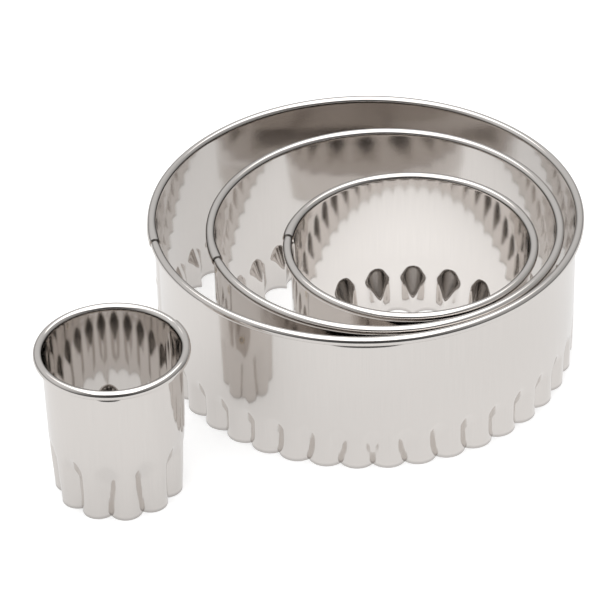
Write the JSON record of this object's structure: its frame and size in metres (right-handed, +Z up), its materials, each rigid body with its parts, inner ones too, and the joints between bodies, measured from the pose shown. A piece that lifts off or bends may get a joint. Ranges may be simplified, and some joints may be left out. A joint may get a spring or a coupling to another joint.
{
  "type": "biscuit cutter set",
  "caption": "Nesting set of round fluted biscuit cutters in polished stainless steel, with rolled rims and scalloped cutting edges.",
  "frame": {"origin": "centre of the whole set's outline, on the surface that the cutting edges stand on", "axes": "+Z up out of the rims; +X to the right as the set stands in the picture, along its longest side; +Y away from the viewer"},
  "size_m": [0.141, 0.1362, 0.0427],
  "materials": {
    "polished_steel": "polished, with faint brushing",
    "wire_steel": "drawn wire",
    "weld_steel": "heat-tinted spot weld"
  },
  "bodies": {
    "large_cutter": {"large_band": "polished_steel", "large_rim_wire": "wire_steel", "large_seam_welds": "weld_steel"},
    "medium_cutter": {"medium_band": "polished_steel", "medium_rim_wire": "wire_steel", "medium_seam_welds": "weld_steel"},
    "small_cutter": {"small_band": "polished_steel", "small_rim_wire": "wire_steel", "small_seam_welds": "weld_steel"},
    "tiny_cutter": {"tiny_band": "polished_steel", "tiny_rim_wire": "wire_steel", "tiny_seam_welds": "weld_steel"}
  },
  "joints": [
    {"name": "medium_lift", "type": "slide", "parent": "large_cutter", "child": "medium_cutter", "axis": [0, 0, 1], "range_m": [0, 0.05]},
    {"name": "small_lift", "type": "slide", "parent": "medium_cutter", "child": "small_cutter", "axis": [0, 0, 1], "range_m": [0, 0.05]},
    {"name": "tiny_lift", "type": "slide", "parent": "large_cutter", "child": "tiny_cutter", "axis": [0, 0, 1], "range_m": [0, 0.05]}
  ]
}
